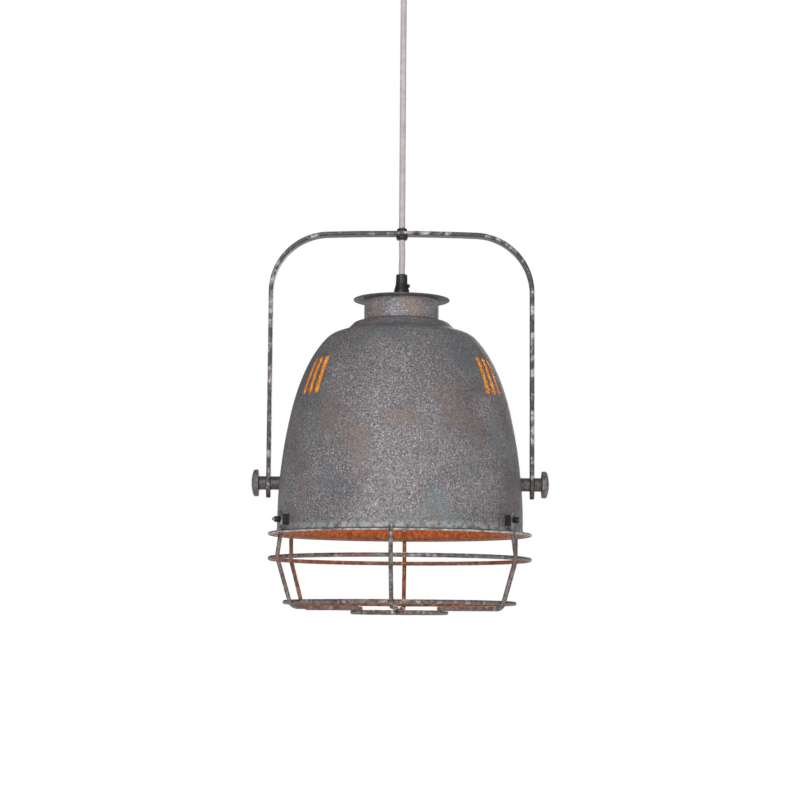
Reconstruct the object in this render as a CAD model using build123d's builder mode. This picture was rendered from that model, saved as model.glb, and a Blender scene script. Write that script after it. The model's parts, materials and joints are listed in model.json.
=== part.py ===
"""Industrial pendant ceiling light: a steel dome shade in a strap bail, with a wire cage, hung on its cord.

Units are millimetres and +Z is up. The origin is the centre of the ceiling face, and the lamp hangs below it.
Heights in this script are measured up from the lowest point of the cage, and level() turns one into Z.
"""

from build123d import *

import os
from math import atan2, cos, degrees, radians, sin

os.makedirs("parts", exist_ok=True)

# ---------------------------------------------------------------- driving dimensions
DROP = 740.0  # ceiling to the lowest point of the cage

# shade
SHEET = 1.0
NECK_R = 40.0
NECK_FOOT = 314.6
NECK_TOP = 336.0
CAP_R = 51.7
CAP_SHEET = 1.6
WALL_R = 130.6
RIM_R = 140.3
RIM_HEIGHT = 84.5
HEM_R = 1.45
COVE_R = 5.0
SLOT_WIDTH = 6.8
SLOT_LENGTH = 43.0
SLOT_HEIGHT = 248.7
SLOT_R = 106.9
SLOT_SLOPE = 20.5
SLOT_STEP = 6.35
SLOT_GROUPS = (-57.3, 60.1, 180.0)

# cage
ROD_R = 2.25
MID_RING_R = 137.75
MID_RING_HEIGHT = 58.5
BOTTOM_RING_R = 121.65
BOTTOM_RING_HEIGHT = 12.4
INNER_RING_R = 49.75
INNER_RING_HEIGHT = 2.25
RIB_MID_R = 142.1
RIB_CORNER = (125.6, 7.0)
RIB_END = (47.5, 6.6)
RIB_TOP = 90.0
RIB_BEND_R = 10.0
TAB_ANGLES = (-63.0, 57.0, 177.8)
PLAIN_ANGLES = (-123.0, -3.7, 117.0)
TAB_R = 138.5
TAB_FOOT = 89.0
TAB_TOP = 104.0
TAB_WIDTH = 6.6
TAB_SHEET = 2.4
FIXING_HEIGHT = 97.0
FIXING_SCREW_R = 1.5

# bail and pivots
PIVOT_HEIGHT = 138.8
STUD_R = 4.0
PIVOT_CLEARANCE = 0.05
SPACER_R = 7.15
BAIL_OUTER_X = 142.8
BAIL_SHEET = 4.6
BAIL_WIDTH = 17.0
BAIL_TOP = 411.5
BAIL_CROWN = 1.3
BAIL_CORNER_R = 65.0
LEG_BELOW_PIVOT = 15.6
SIDE_GAP = 0.3
KNOB_COLLAR_OUT = 150.0
KNOB_OUT = 158.4
KNOB_R = 14.5

# cord and ceiling fitting
CORD_R = 3.35
CORD_PLAY = 0.1
CANOPY_R = 50.0
CANOPY_DEPTH = 42.0
GLAND_TIP = -60.0
SWING_Z = -55.0
SWING_BALL_R = 6.5
BUSH_HALF_HEIGHT = 2.2
BUSH_BORE_R = 4.2

# lampholder and bulb
NIPPLE_R = 5.0
HOLDER_R = 20.0
SCREW_SHELL_R = 13.4
BULB_BASE_R = 13.1
BULB_R = 30.0
BULB_SEAT = 288.0
BULB_LENGTH = 105.0


def level(height):
    """Z of a height measured up from the lowest point of the cage."""
    return height - DROP


def save(builder, name):
    """Label a finished piece and write its STEP file."""
    builder.part.label = name
    export_step(builder.part, f"parts/{name}.step")


def upright(angle):
    """Plane through the lamp's axis, with x outward at this angle from the front and y up."""
    outward = (sin(radians(angle)), -cos(radians(angle)), 0)
    return Plane(origin=(0, 0, 0), x_dir=outward, z_dir=(-cos(radians(angle)), -sin(radians(angle)), 0))


def outward_plane(angle, radius, height, tilt=0.0):
    """Plane facing outward at this angle, radius and height, tilted up by this much."""
    outward = Vector(sin(radians(angle)), -cos(radians(angle)), 0)
    centre = outward * radius + Vector(0, 0, level(height))
    normal = outward * cos(radians(tilt)) + Vector(0, 0, sin(radians(tilt)))
    return Plane(origin=centre, x_dir=(cos(radians(angle)), sin(radians(angle)), 0), z_dir=normal)


# ---------------------------------------------------------------- shade shell
SHOULDER = ((NECK_R + 0.3, NECK_FOOT), (50.6, 311.6), (57.8, 304.3), (70.0, 300.1))
SHOULDER_BENDS = (7.0, 6.0)
# Each arc of the dome: its radius, and how steeply it falls at its lower end.
DOME_ARCS = ((28.0, 46.0), (73.0, 53.0), (133.0, 66.4), (241.0, 76.5), (530.0, 90.0))
HEM_LAP = 0.4


def shade_outline(inset):
    """Outline of the shade from neck to hem, this far inside its outer skin.

    It is drawn with radius along x and Z along y, and the sketches stand it up on Plane.XZ.
    """
    corners = [Vector(radius, level(height)) for radius, height in SHOULDER]
    runs = [(end - start).normalized() for start, end in zip(corners, corners[1:])]
    normals = [Vector(run.Y, -run.X) for run in runs]
    turns = [before.cross(after).Z for before, after in zip(runs, runs[1:])]
    bends = [radius + (inset if turn > 0 else -inset) for radius, turn in zip(SHOULDER_BENDS, turns)]
    moved = [corners[0] + normals[0] * inset]
    for corner, before, after in zip(corners[1:], normals, normals[1:]):
        moved.append(corner + (before + after) * (inset / (1 + before.dot(after))))
    moved.append(corners[-1] + normals[-1] * inset)
    with BuildLine() as outline:
        curve = FilletPolyline(*moved, radius=bends)
        fall = -degrees(atan2((curve % 1).Y, (curve % 1).X))
        for arc_radius, next_fall in DOME_ARCS:
            curve = JernArc(curve @ 1, curve % 1, arc_radius - inset, fall - next_fall)
            fall = next_fall
        foot = curve @ 1
        rim_edge = (RIM_R - HEM_R, level(RIM_HEIGHT) + HEM_LAP - inset)
        FilletPolyline(foot, (foot.X, rim_edge[1]), rim_edge, radius=COVE_R + inset)
    return outline.line


outer_skin = shade_outline(0.0)
inner_skin = shade_outline(SHEET)

with BuildPart() as shade_envelope:
    with BuildSketch(Plane.XZ):
        with BuildLine():
            add(outer_skin)
            Polyline(
                outer_skin @ 1,
                inner_skin @ 1,
                (0, (inner_skin @ 1).Y),
                (0, level(NECK_FOOT)),
                outer_skin @ 0,
            )
        make_face()
    revolve(axis=Axis.Z)

with BuildPart() as shade_sheet:
    with BuildSketch(Plane.XZ):
        with BuildLine():
            add(outer_skin)
            add(inner_skin)
            Line(outer_skin @ 0, inner_skin @ 0)
            Line(outer_skin @ 1, inner_skin @ 1)
        make_face()
    revolve(axis=Axis.Z)

with BuildPart() as shade_shell:
    add(shade_sheet.part)
    # rolled hem round the rim
    with BuildSketch(Plane.XZ):
        with Locations((RIM_R - HEM_R, level(RIM_HEIGHT))):
            Circle(HEM_R)
    revolve(axis=Axis.Z)
    # vent slots in three groups of three, each along its meridian of the dome
    for group in SLOT_GROUPS:
        for step in (-1, 0, 1):
            with BuildSketch(outward_plane(group + step * SLOT_STEP, SLOT_R, SLOT_HEIGHT, SLOT_SLOPE)):
                SlotOverall(SLOT_LENGTH, SLOT_WIDTH, rotation=90)
            extrude(amount=12.0, both=True, mode=Mode.SUBTRACT)
    # a stud hole on each side
    for angle in (-90, 90):
        with BuildSketch(outward_plane(angle, WALL_R - 10.0, PIVOT_HEIGHT)):
            Circle(STUD_R + 0.2)
        extrude(amount=16.0, mode=Mode.SUBTRACT)
    for angle in TAB_ANGLES:
        # screw hole, and the notch in the rim that the rib passes through
        with BuildSketch(outward_plane(angle, WALL_R - 8.0, FIXING_HEIGHT)):
            Circle(FIXING_SCREW_R + 0.2)
        extrude(amount=16.0, mode=Mode.SUBTRACT)
        with BuildSketch(outward_plane(angle, TAB_R - ROD_R - 0.4, RIM_HEIGHT)):
            Rectangle(2 * ROD_R + 0.8, 8.0)
        extrude(amount=10.0, mode=Mode.SUBTRACT)
save(shade_shell, "shade_shell")

# ---------------------------------------------------------------- neck
with BuildPart() as neck_collar:
    with BuildSketch(Plane.XY.offset(level(NECK_FOOT - 4.0))):
        Circle(NECK_R)
        Circle(NECK_R - 1.2, mode=Mode.SUBTRACT)
    extrude(amount=NECK_TOP - NECK_FOOT + 4.0)
save(neck_collar, "neck_collar")

with BuildPart() as neck_cap:
    with BuildSketch(Plane.XY.offset(level(NECK_TOP))):
        Circle(CAP_R)
    extrude(amount=CAP_SHEET)
    fillet(neck_cap.edges().group_by(Axis.Z)[-1], radius=0.7)
    fillet(neck_cap.edges().group_by(Axis.Z)[0], radius=0.7)
    with BuildSketch(Plane.XY.offset(level(NECK_TOP))):
        Circle(NECK_R - 1.3)
        Circle(NECK_R - 2.5, mode=Mode.SUBTRACT)
    extrude(amount=-7.0)
    with BuildSketch(Plane.XY.offset(level(NECK_TOP))):
        Circle(NIPPLE_R + 0.1)
    extrude(amount=CAP_SHEET, mode=Mode.SUBTRACT)
save(neck_cap, "neck_cap")

# ---------------------------------------------------------------- cord grip on the neck cap
GRIP_FOOT = NECK_TOP + CAP_SHEET
GRIP_TOP = 364.6
GRIP_BORE_TOP = 344.2
GRIP_SCREW_HEIGHT = 352.5
GRIP_SCREW_R = 1.9

with BuildPart() as cord_grip:
    with BuildSketch(Plane.XZ):
        with BuildLine():
            Polyline(
                (CORD_R + CORD_PLAY, level(GRIP_TOP)),
                (6.0, level(GRIP_TOP)),
                (6.3, level(355.0)),
                (7.3, level(350.6)),
                (8.2, level(347.0)),
                (8.9, level(341.0)),
                (8.9, level(GRIP_FOOT)),
                (NIPPLE_R + 0.05, level(GRIP_FOOT)),
                (NIPPLE_R + 0.05, level(GRIP_BORE_TOP)),
                (CORD_R + CORD_PLAY, level(GRIP_BORE_TOP)),
                close=True,
            )
        make_face()
    revolve(axis=Axis.Z)
    fillet(cord_grip.edges().group_by(Axis.Z)[-1], radius=0.8)
    with BuildSketch(Plane.YZ.offset(CORD_R)):
        with Locations((0, level(GRIP_SCREW_HEIGHT))):
            Circle(GRIP_SCREW_R + 0.05)
    extrude(amount=8.0, mode=Mode.SUBTRACT)
save(cord_grip, "cord_grip")

with BuildPart() as cord_grip_screw:
    with BuildSketch(Plane.YZ.offset(CORD_R + CORD_PLAY)):
        with Locations((0, level(GRIP_SCREW_HEIGHT))):
            Circle(GRIP_SCREW_R)
    extrude(amount=8.8 - CORD_R - CORD_PLAY)
    with BuildSketch(Plane.YZ.offset(8.8)):
        with Locations((0, level(GRIP_SCREW_HEIGHT))):
            Rectangle(3.0, 0.7)
    extrude(amount=-1.0, mode=Mode.SUBTRACT)
save(cord_grip_screw, "cord_grip_screw")

NIPPLE_TOP = 344.0
NIPPLE_FOOT = 316.0
with BuildPart() as cap_nipple:
    with BuildSketch(Plane.XY.offset(level(NIPPLE_FOOT))):
        Circle(NIPPLE_R)
        Circle(CORD_R + CORD_PLAY, mode=Mode.SUBTRACT)
    extrude(amount=NIPPLE_TOP - NIPPLE_FOOT)
    chamfer(cap_nipple.edges().filter_by(GeomType.CIRCLE).sort_by(SortBy.RADIUS)[-2:], length=0.5)
save(cap_nipple, "cap_nipple")

with BuildPart() as cap_nut:
    with BuildSketch(Plane.XY.offset(level(NECK_TOP - 4.0))):
        RegularPolygon(7.0, 6, major_radius=False)
        Circle(NIPPLE_R, mode=Mode.SUBTRACT)
    extrude(amount=4.0)
save(cap_nut, "cap_nut")

with BuildPart() as cord_end:
    with BuildSketch(Plane.XY.offset(level(NIPPLE_FOOT - 3.0))):
        Circle(CORD_R)
    extrude(amount=GRIP_TOP - NIPPLE_FOOT + 3.0)
save(cord_end, "cord_end")

# ---------------------------------------------------------------- lampholder
HOLDER_TOP = 324.0
HOLDER_JOINT = 303.0
HOLDER_FOOT = 267.0
HOLDER_WALL = 1.8
CORE_TOP = 300.0
CORE_FOOT = 291.0
TERMINAL_X = 9.0

with BuildPart() as lampholder_cap:
    with BuildSketch(Plane.XZ):
        with BuildLine():
            Polyline(
                (NIPPLE_R + 0.05, level(HOLDER_TOP)),
                (12.0, level(HOLDER_TOP)),
                (18.0, level(HOLDER_TOP - 6.0)),
                (HOLDER_R, level(HOLDER_JOINT)),
                (HOLDER_R - HOLDER_WALL, level(HOLDER_JOINT)),
                (18.0 - HOLDER_WALL, level(HOLDER_TOP - 7.0)),
                (12.0, level(HOLDER_TOP - 3.0)),
                (NIPPLE_R + 0.05, level(HOLDER_TOP - 3.0)),
                close=True,
            )
        make_face()
    revolve(axis=Axis.Z)
save(lampholder_cap, "lampholder_cap")

with BuildPart() as lampholder_skirt:
    with BuildSketch(Plane.XY.offset(level(HOLDER_FOOT))):
        Circle(HOLDER_R)
        Circle(HOLDER_R - HOLDER_WALL, mode=Mode.SUBTRACT)
    extrude(amount=HOLDER_JOINT - HOLDER_FOOT)
    # ribbed grip round the skirt
    with PolarLocations(HOLDER_R, 24):
        with Locations((0, 0, level(HOLDER_FOOT + 14.0))):
            Cylinder(0.7, 20.0)
save(lampholder_skirt, "lampholder_skirt")

with BuildPart() as lampholder_core:
    with BuildSketch(Plane.XY.offset(level(CORE_FOOT))):
        Circle(HOLDER_R - HOLDER_WALL - 0.1)
    extrude(amount=CORE_TOP - CORE_FOOT)
    with Locations((-TERMINAL_X, 0, level(CORE_TOP)), (TERMINAL_X, 0, level(CORE_TOP))):
        Hole(1.6, depth=5.0)
save(lampholder_core, "lampholder_core")

with BuildPart() as lampholder_screw_shell:
    with BuildSketch(Plane.XY.offset(level(HOLDER_FOOT + 1.0))):
        Circle(SCREW_SHELL_R + 0.5)
        Circle(SCREW_SHELL_R, mode=Mode.SUBTRACT)
    extrude(amount=CORE_FOOT - HOLDER_FOOT - 1.0)
save(lampholder_screw_shell, "lampholder_screw_shell")

with BuildPart() as lampholder_centre_contact:
    with BuildSketch(Plane.XZ):
        with BuildLine():
            Polyline(
                (0, level(CORE_FOOT)),
                (4.0, level(CORE_FOOT)),
                (4.0, level(CORE_FOOT - 0.5)),
                (2.5, level(CORE_FOOT - 0.7)),
                (0, level(CORE_FOOT - 0.7)),
                close=True,
            )
        make_face()
    revolve(axis=Axis.Z)
save(lampholder_centre_contact, "lampholder_centre_contact")

# Each conductor leaves the sheath, bends once and enters its terminal.
WIRE_R = 1.1
WIRE_TOP = NIPPLE_FOOT - 3.0
LAMP_WIRES = {
    "lamp_live_wire": ((-1.6, 0), (-TERMINAL_X, 0), CORE_TOP - 4.0),
    "lamp_neutral_wire": ((1.6, 0), (TERMINAL_X, 0), CORE_TOP - 4.0),
    "lamp_earth_wire": ((0, 1.7), (0, 11.0), CORE_TOP + 1.5),
}
for name, (start, end, foot) in LAMP_WIRES.items():
    with BuildPart() as lamp_wire:
        with BuildLine() as wire_path:
            FilletPolyline(
                (start[0], start[1], level(WIRE_TOP)),
                (start[0], start[1], level(WIRE_TOP - 3.0)),
                (end[0], end[1], level(CORE_TOP + 5.0)),
                (end[0], end[1], level(foot)),
                radius=1.8,
            )
        with BuildSketch(Plane(origin=wire_path.line @ 0, z_dir=wire_path.line % 0)):
            Circle(WIRE_R)
        sweep(path=wire_path.line)
    save(lamp_wire, name)

# ---------------------------------------------------------------- bulb
BULB_CENTRE = BULB_SEAT + 2.0 - BULB_LENGTH + BULB_R
BULB_NECK = 266.0
with BuildPart() as bulb_glass:
    with BuildSketch(Plane.XZ):
        with BuildLine():
            bulb_belly = CenterArc((0, level(BULB_CENTRE)), BULB_R, -90, 118)
            bulb_flank = Spline(
                bulb_belly @ 1,
                (BULB_BASE_R - 0.4, level(BULB_NECK)),
                tangents=(bulb_belly % 1, (0, 1)),
            )
            Polyline(bulb_flank @ 1, (0, level(BULB_NECK)), bulb_belly @ 0)
        make_face()
    revolve(axis=Axis.Z)
    with BuildSketch(Plane.XZ):
        with BuildLine():
            inner_belly = CenterArc((0, level(BULB_CENTRE)), BULB_R - 1.0, -90, 118)
            inner_flank = Spline(
                inner_belly @ 1,
                (BULB_BASE_R - 1.4, level(BULB_NECK - 1.0)),
                tangents=(inner_belly % 1, (0, 1)),
            )
            Polyline(inner_flank @ 1, (0, level(BULB_NECK - 1.0)), inner_belly @ 0)
        make_face()
    revolve(axis=Axis.Z, mode=Mode.SUBTRACT)
save(bulb_glass, "bulb_glass")

with BuildPart() as bulb_base:
    with BuildSketch(Plane.XY.offset(level(BULB_NECK))):
        Circle(BULB_BASE_R - 0.9)
    extrude(amount=BULB_SEAT - BULB_NECK - 3.0)
    # round screw thread, drawn as rings
    for turn in range(5):
        with BuildSketch(Plane.XZ):
            with Locations((BULB_BASE_R - 1.3, level(BULB_NECK + 3.5 + 3.6 * turn))):
                Circle(1.3)
        revolve(axis=Axis.Z)
save(bulb_base, "bulb_base")

with BuildPart() as bulb_contact:
    with BuildSketch(Plane.XZ):
        with BuildLine():
            Polyline(
                (0, level(BULB_SEAT - 3.0)),
                (11.0, level(BULB_SEAT - 3.0)),
                (5.0, level(BULB_SEAT)),
                (4.0, level(BULB_SEAT + 1.6)),
                (0, level(BULB_SEAT + 1.9)),
                close=True,
            )
        make_face()
    revolve(axis=Axis.Z)
save(bulb_contact, "bulb_contact")

STEM_TOP = BULB_NECK - 26.0
with BuildPart() as bulb_stem:
    with BuildSketch(Plane.XY.offset(level(STEM_TOP))):
        Circle(2.5)
    extrude(amount=25.0, taper=-8)
    with Locations((-1.6, 0, 0), (1.6, 0, 0)):
        with Locations((0, 0, level(STEM_TOP - 7.0))):
            Cylinder(0.4, 16.0)
    with Locations((0, 0, level(STEM_TOP - 15.0))):
        Cylinder(0.8, 14.0, rotation=(0, 90, 0))
save(bulb_stem, "bulb_stem")

# ---------------------------------------------------------------- pivots, spacers and knobs
SPACER_END = BAIL_OUTER_X - BAIL_SHEET - SIDE_GAP
STUD_END = KNOB_OUT - 3.5
STUD_HEAD_X = 124.9
WALL_TILT = 4.6  # how far the wall beside the pivots leans inward, in degrees
for side, sign in {"left": -1, "right": 1}.items():
    across = Plane(origin=(0, 0, level(PIVOT_HEIGHT)), x_dir=(0, 1, 0), z_dir=(sign, 0, 0))
    with BuildPart() as pivot_stud:
        with BuildSketch(across.offset(STUD_HEAD_X)):
            Circle(STUD_R)
        extrude(amount=STUD_END - STUD_HEAD_X)
        with BuildSketch(across.offset(STUD_HEAD_X - 4.5)):
            RegularPolygon(6.5, 6, major_radius=False)
        extrude(amount=4.5)
        fillet(pivot_stud.faces().sort_by(Axis.X)[-1 if sign > 0 else 0].edges(), radius=0.6)
    save(pivot_stud, f"pivot_stud_{side}")

    with BuildPart() as pivot_washer:
        with BuildSketch(outward_plane(sign * 90, STUD_HEAD_X + 0.7, PIVOT_HEIGHT, WALL_TILT)):
            Circle(9.0)
            Circle(STUD_R + 0.2, mode=Mode.SUBTRACT)
        extrude(amount=1.2)
    save(pivot_washer, f"pivot_washer_{side}")

    with BuildPart() as spacer:
        with BuildSketch(across.offset(124.0)):
            Circle(SPACER_R)
            Circle(STUD_R + 0.1, mode=Mode.SUBTRACT)
        extrude(amount=SPACER_END - 124.0)
        add(shade_envelope.part, mode=Mode.SUBTRACT)
    save(spacer, f"spacer_{side}")

    with BuildPart() as knob_collar:
        with BuildSketch(across.offset(BAIL_OUTER_X + SIDE_GAP)):
            Circle(SPACER_R + 0.1)
            Circle(STUD_R + PIVOT_CLEARANCE, mode=Mode.SUBTRACT)
        extrude(amount=KNOB_COLLAR_OUT - BAIL_OUTER_X - SIDE_GAP)
    save(knob_collar, f"knob_collar_{side}")

    with BuildPart() as knob:
        with BuildSketch(Plane.XZ):
            with BuildLine():
                knob_face = ThreePointArc(
                    (sign * KNOB_OUT, level(PIVOT_HEIGHT)),
                    (sign * (KNOB_OUT - 0.5), level(PIVOT_HEIGHT + 7.0)),
                    (sign * (KNOB_OUT - 2.2), level(PIVOT_HEIGHT + KNOB_R - 1.2)),
                )
                Polyline(
                    knob_face @ 1,
                    (sign * (KNOB_OUT - 3.8), level(PIVOT_HEIGHT + KNOB_R)),
                    (sign * (KNOB_COLLAR_OUT + 0.9), level(PIVOT_HEIGHT + KNOB_R - 0.3)),
                    (sign * KNOB_COLLAR_OUT, level(PIVOT_HEIGHT + SPACER_R)),
                    (sign * KNOB_COLLAR_OUT, level(PIVOT_HEIGHT)),
                    knob_face @ 0,
                )
            make_face()
        revolve(axis=Axis((0, 0, level(PIVOT_HEIGHT)), (1, 0, 0)))
        with BuildSketch(across.offset(KNOB_COLLAR_OUT)):
            Circle(STUD_R + PIVOT_CLEARANCE)
        extrude(amount=STUD_END - KNOB_COLLAR_OUT + SIDE_GAP, mode=Mode.SUBTRACT)
    save(knob, f"knob_{side}")

# ---------------------------------------------------------------- bail
SHOULDER_X = BAIL_OUTER_X - BAIL_CORNER_R
BAR_END = BAIL_TOP - BAIL_CROWN
with BuildPart() as bail:
    with BuildSketch(Plane.XZ):
        with BuildLine() as bail_outline:
            left_leg = Line(
                (-BAIL_OUTER_X, level(PIVOT_HEIGHT - LEG_BELOW_PIVOT)),
                (-BAIL_OUTER_X, level(BAR_END - BAIL_CORNER_R)),
            )
            left_corner = TangentArc(left_leg @ 1, (-SHOULDER_X, level(BAR_END)), tangent=left_leg % 1)
            crown = ThreePointArc(left_corner @ 1, (0, level(BAIL_TOP)), (SHOULDER_X, level(BAR_END)))
            right_corner = ThreePointArc(
                crown @ 1,
                (
                    SHOULDER_X + BAIL_CORNER_R * sin(radians(45)),
                    level(BAR_END - BAIL_CORNER_R * (1 - cos(radians(45)))),
                ),
                (BAIL_OUTER_X, level(BAR_END - BAIL_CORNER_R)),
            )
            Line(right_corner @ 1, (BAIL_OUTER_X, level(PIVOT_HEIGHT - LEG_BELOW_PIVOT)))
            offset(bail_outline.line, amount=BAIL_SHEET, side=Side.RIGHT)
        make_face()
    extrude(amount=BAIL_WIDTH / 2, both=True)
    # rounded leg ends
    leg_ends = bail.edges().filter_by(Axis.X).group_by(Axis.Z)[0]
    fillet(leg_ends, radius=BAIL_WIDTH / 2 - 0.1)
    # pivot holes and the grommet hole
    with BuildSketch(Plane.YZ):
        with Locations((0, level(PIVOT_HEIGHT))):
            Circle(STUD_R + PIVOT_CLEARANCE)
    extrude(amount=BAIL_OUTER_X + 5.0, both=True, mode=Mode.SUBTRACT)
    with BuildSketch(Plane.XY.offset(level(BAIL_TOP - 10.0))):
        Circle(4.8)
    extrude(amount=20.0, mode=Mode.SUBTRACT)
save(bail, "bail")

GROMMET_SPLIT = BAIL_TOP - BAIL_SHEET - 0.05
with BuildPart() as bail_grommet:
    with BuildSketch(Plane.XZ):
        with BuildLine():
            Polyline(
                (CORD_R, level(BAIL_TOP + 3.6)),
                (4.6, level(BAIL_TOP + 3.6)),
                (5.5, level(BAIL_TOP + 2.6)),
                (5.6, level(BAIL_TOP + 0.05)),
                (4.75, level(BAIL_TOP + 0.05)),
                (4.75, level(GROMMET_SPLIT)),
                (CORD_R, level(GROMMET_SPLIT)),
                close=True,
            )
        make_face()
    revolve(axis=Axis.Z)
save(bail_grommet, "bail_grommet")

with BuildPart() as grommet_ring:
    with BuildSketch(Plane.XZ):
        with BuildLine():
            Polyline(
                (CORD_R, level(GROMMET_SPLIT)),
                (6.2, level(GROMMET_SPLIT)),
                (6.2, level(GROMMET_SPLIT - 2.6)),
                (5.0, level(GROMMET_SPLIT - 4.4)),
                (CORD_R, level(GROMMET_SPLIT - 4.4)),
                close=True,
            )
        make_face()
    revolve(axis=Axis.Z)
save(grommet_ring, "grommet_ring")

# ---------------------------------------------------------------- cord
# The hanging stretch is pulled straight by the lamp's weight, and its top end is round about the swing point.
with BuildPart() as cord_upper:
    with BuildSketch(Plane.XY.offset(level(BAIL_TOP))):
        Circle(CORD_R)
    extrude(amount=SWING_Z - level(BAIL_TOP))
    with Locations((0, 0, SWING_Z)):
        Sphere(CORD_R)
save(cord_upper, "cord_upper")

with BuildPart() as cord_lower:
    with BuildSketch(Plane.XY.offset(level(GRIP_TOP))):
        Circle(CORD_R)
    extrude(amount=BAIL_TOP - GRIP_TOP)
save(cord_lower, "cord_lower")

# ---------------------------------------------------------------- cage
for name, radius, height in (
    ("cage_mid_ring", MID_RING_R, MID_RING_HEIGHT),
    ("cage_bottom_ring", BOTTOM_RING_R, BOTTOM_RING_HEIGHT),
    ("cage_inner_ring", INNER_RING_R, INNER_RING_HEIGHT),
):
    with BuildPart() as ring:
        with BuildSketch(Plane.XZ):
            with Locations((radius, level(height))):
                Circle(ROD_R)
        revolve(axis=Axis.Z)
    save(ring, name)

for number, angle in enumerate(sorted(TAB_ANGLES + PLAIN_ANGLES), start=1):
    has_tab = angle in TAB_ANGLES
    top = [(TAB_R, TAB_FOOT), (TAB_R, RIM_HEIGHT - 3.0)] if has_tab else [(RIB_MID_R + 0.5, RIB_TOP)]
    stations = top + [(RIB_MID_R, MID_RING_HEIGHT), RIB_CORNER, RIB_END]
    bends = [14.0, 14.0, RIB_BEND_R] if has_tab else [14.0, RIB_BEND_R]
    with BuildPart() as rib:
        with BuildLine(upright(angle)) as rib_path:
            FilletPolyline(*[(r, level(h)) for r, h in stations], radius=bends)
        with BuildSketch(Plane(origin=rib_path.line @ 0, z_dir=rib_path.line % 0)):
            Circle(ROD_R)
        sweep(path=rib_path.line)
        if has_tab:
            # the rod's end is hammered flat into a tab with a screw hole
            tab_middle = (TAB_TOP + TAB_FOOT) / 2
            tab_plane = outward_plane(angle, TAB_R - TAB_SHEET / 2, tab_middle)
            with BuildSketch(tab_plane) as tab_outline:
                Rectangle(TAB_WIDTH, TAB_TOP - TAB_FOOT + 4.0)
                fillet(tab_outline.vertices(), radius=2.0)
            extrude(amount=TAB_SHEET)
            with BuildSketch(outward_plane(angle, TAB_R - 4.0, FIXING_HEIGHT)):
                Circle(FIXING_SCREW_R + 0.1)
            extrude(amount=8.0, mode=Mode.SUBTRACT)
    save(rib, f"cage_rib_{number}")

BLOCK_OUT = TAB_R - TAB_SHEET / 2
NUT_IN = TAB_R + TAB_SHEET / 2
SCREW_HEAD_R = WALL_R - 2.2
with BuildPart() as cage_blocks:
    for angle in TAB_ANGLES:
        with BuildSketch(outward_plane(angle, WALL_R - 4.0, FIXING_HEIGHT)) as block_outline:
            Rectangle(6.0, 11.0)
            fillet(block_outline.vertices(), radius=1.0)
            Circle(FIXING_SCREW_R + 0.1, mode=Mode.SUBTRACT)
        extrude(amount=BLOCK_OUT - WALL_R + 4.0)
    add(shade_envelope.part, mode=Mode.SUBTRACT)
save(cage_blocks, "cage_blocks")

with BuildPart() as cage_screws:
    for angle in TAB_ANGLES:
        with BuildSketch(outward_plane(angle, SCREW_HEAD_R - 1.0, FIXING_HEIGHT)):
            Circle(FIXING_SCREW_R)
        extrude(amount=NUT_IN + 8.0 - SCREW_HEAD_R + 1.0)
        with BuildSketch(outward_plane(angle, SCREW_HEAD_R - 2.2, FIXING_HEIGHT)):
            Circle(3.0)
        extrude(amount=2.2)
save(cage_screws, "cage_screws")

with BuildPart() as cage_nuts:
    for angle in TAB_ANGLES:
        with BuildSketch(outward_plane(angle, NUT_IN, FIXING_HEIGHT)):
            RegularPolygon(2.9, 6, major_radius=False)
            Circle(FIXING_SCREW_R, mode=Mode.SUBTRACT)
        extrude(amount=2.8)
        with BuildSketch(outward_plane(angle, NUT_IN + 2.8, FIXING_HEIGHT)):
            Circle(3.1)
            Circle(FIXING_SCREW_R, mode=Mode.SUBTRACT)
        extrude(amount=3.2)
        outward = Axis((0, 0, 0), (sin(radians(angle)), -cos(radians(angle)), 0))
        end_face = cage_nuts.faces().sort_by(outward)[-1]
        fillet(end_face.outer_wire().edges(), radius=1.0)
save(cage_nuts, "cage_nuts")

# ---------------------------------------------------------------- ceiling fitting
BRACKET_SHEET = 1.8
EAR_X = 47.4
FIX_SLOT_SPACING = 60.0
FIX_SLOT_LENGTH = 14.0
FIX_SLOT_WIDTH = 5.0
EAR_SCREW_Z = -14.0

with BuildPart() as ceiling_bracket:
    with BuildSketch(Plane.XY):
        Rectangle(2 * EAR_X, 20.0)
        with Locations((-FIX_SLOT_SPACING / 2, 0), (FIX_SLOT_SPACING / 2, 0)):
            SlotOverall(FIX_SLOT_LENGTH, FIX_SLOT_WIDTH, mode=Mode.SUBTRACT)
    extrude(amount=-BRACKET_SHEET)
    for sign in (-1, 1):
        ear_plane = Plane(origin=(sign * EAR_X, 0, 0), x_dir=(0, -sign, 0), z_dir=(-sign, 0, 0))
        with BuildSketch(ear_plane):
            with Locations((0, -10.0)):
                Rectangle(12.0, 20.0)
            with Locations((0, EAR_SCREW_Z)):
                Circle(2.0, mode=Mode.SUBTRACT)
        extrude(amount=BRACKET_SHEET)
save(ceiling_bracket, "ceiling_bracket")

with BuildPart() as ceiling_canopy:
    with BuildSketch(Plane.XZ):
        with BuildLine() as canopy_outline:
            FilletPolyline(
                (CANOPY_R, 0),
                (CANOPY_R, -CANOPY_DEPTH),
                (6.1, -CANOPY_DEPTH),
                radius=13.0,
            )
            offset(canopy_outline.line, amount=SHEET, side=Side.RIGHT)
        make_face()
    revolve(axis=Axis.Z)
    with BuildSketch(Plane.YZ):
        with Locations((0, EAR_SCREW_Z)):
            Circle(2.2)
    extrude(amount=CANOPY_R + 5.0, both=True, mode=Mode.SUBTRACT)
save(ceiling_canopy, "ceiling_canopy")

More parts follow.
